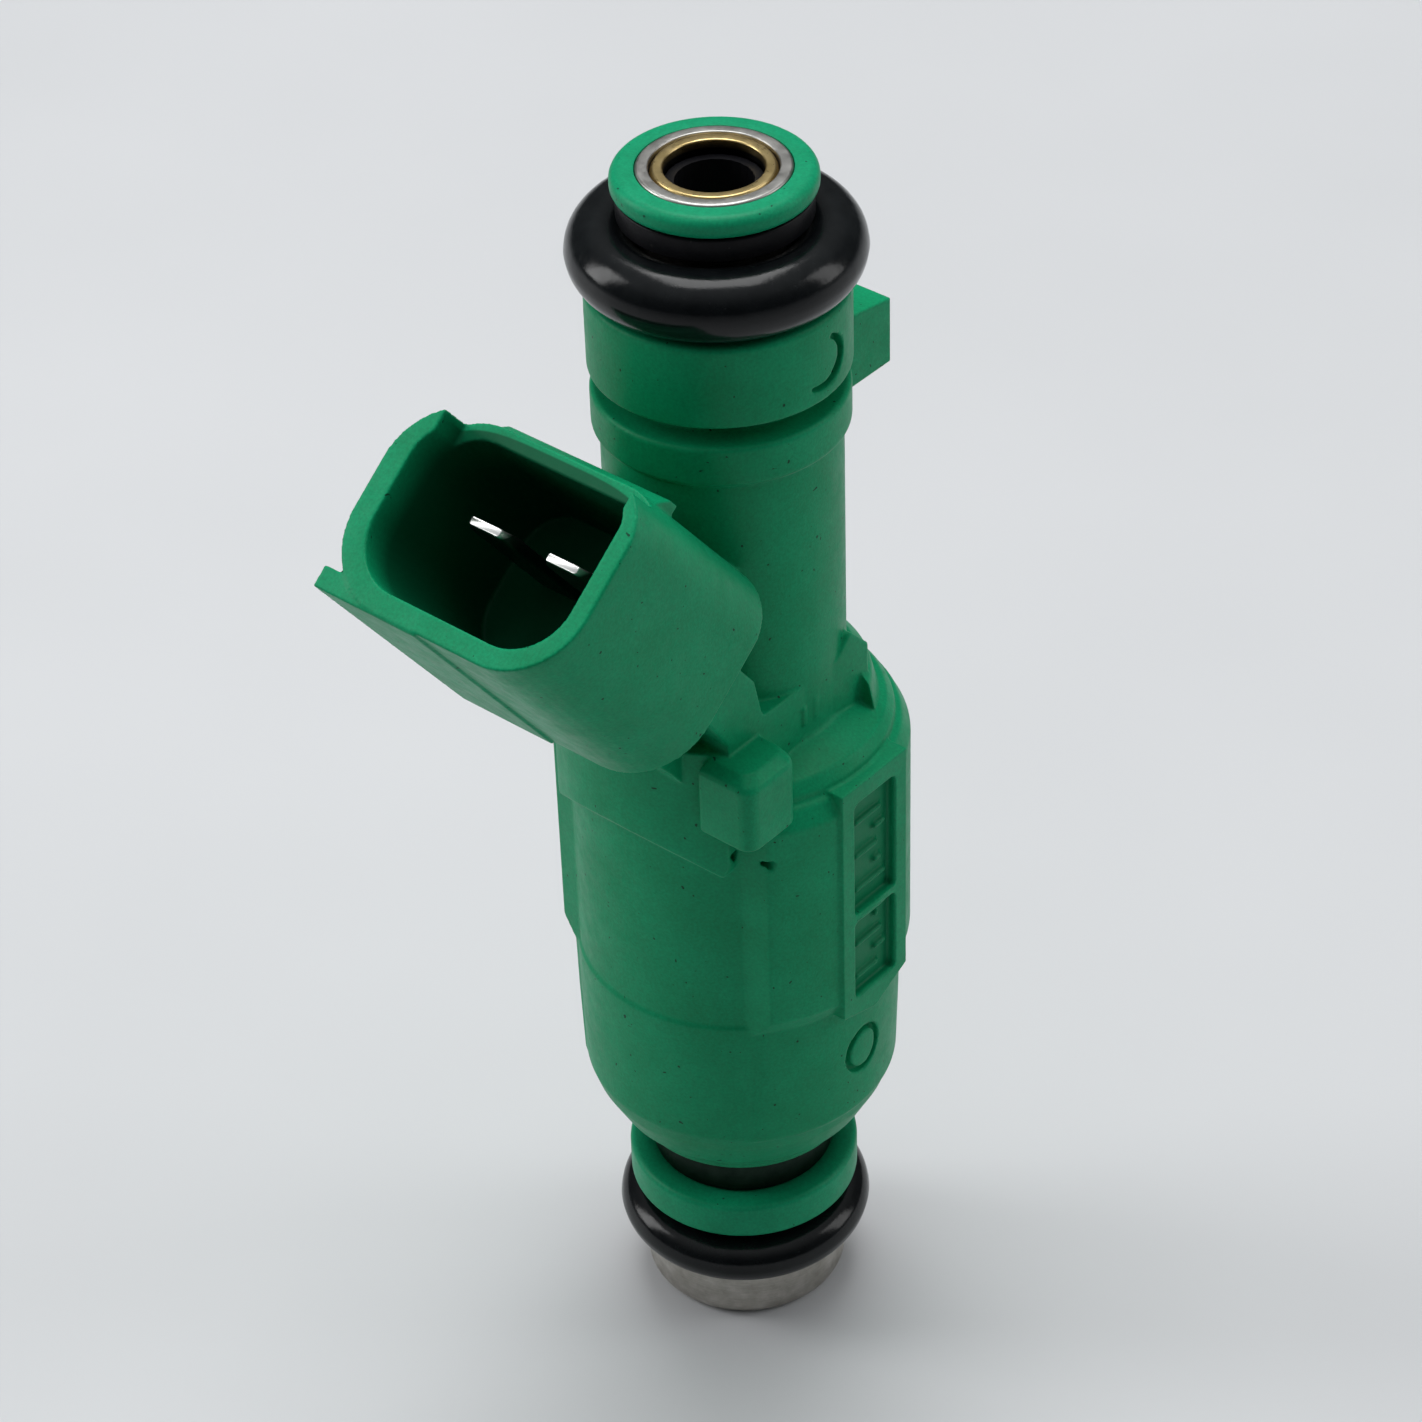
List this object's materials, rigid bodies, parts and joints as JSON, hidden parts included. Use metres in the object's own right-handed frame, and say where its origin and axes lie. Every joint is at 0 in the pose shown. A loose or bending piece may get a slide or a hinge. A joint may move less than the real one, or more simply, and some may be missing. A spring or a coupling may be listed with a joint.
{
  "type": "fuel injector",
  "caption": "Port fuel injector with a green moulded body, a slanted electrical connector, black O-rings, a steel inlet tube with a filter, and a round nozzle with a spray plate.",
  "frame": {"origin": "centre of the orifice plate's outer face, on the injector's long axis", "axes": "+Z along the long axis from the nozzle to the fuel rail end; -Y the side that the connector leans out from; +X to the right seen from the connector side"},
  "size_m": [0.0188, 0.0319, 0.0723],
  "materials": {
    "moulded_green": "satin moulded",
    "ring_green": "satin moulded",
    "black_rubber": "satin",
    "stainless_steel": "turned",
    "nozzle_steel": "drawn",
    "magnet_steel": "turned",
    "brass": "turned",
    "tinned_brass": "tin plated",
    "enamelled_copper": "enamelled wire",
    "black_plastic": "moulded",
    "bobbin_black": "moulded"
  },
  "bodies": {
    "housing": {"overmold_body": "moulded_green", "rail_o_ring": "black_rubber", "manifold_o_ring": "black_rubber", "rail_end_ring": "ring_green", "rail_spacer_ring": "black_plastic", "manifold_support_ring": "ring_green", "inlet_tube": "stainless_steel", "filter_collar": "brass", "filter_cage": "black_plastic", "filter_screen": "stainless_steel", "pole_core": "magnet_steel", "magnet_can": "magnet_steel", "can_top_washer": "magnet_steel", "can_base_washer": "magnet_steel", "coil_bobbin": "bobbin_black", "coil_winding": "enamelled_copper", "nonmagnetic_sleeve": "stainless_steel", "return_spring": "stainless_steel", "adjusting_sleeve": "stainless_steel", "valve_body": "stainless_steel", "valve_seat": "stainless_steel", "orifice_plate": "stainless_steel", "nozzle_sleeve": "nozzle_steel", "terminal_left": "tinned_brass", "terminal_right": "tinned_brass"},
    "valve": {"armature": "magnet_steel", "needle_tube": "stainless_steel", "valve_ball": "stainless_steel"}
  },
  "joints": [
    {"name": "valve_lift", "type": "slide", "parent": "housing", "child": "valve", "axis": [0, 0, 1], "range_m": [0, 0.00008], "stiffness_N_per_m": 8000, "deforming": ["return_spring"]}
  ]
}
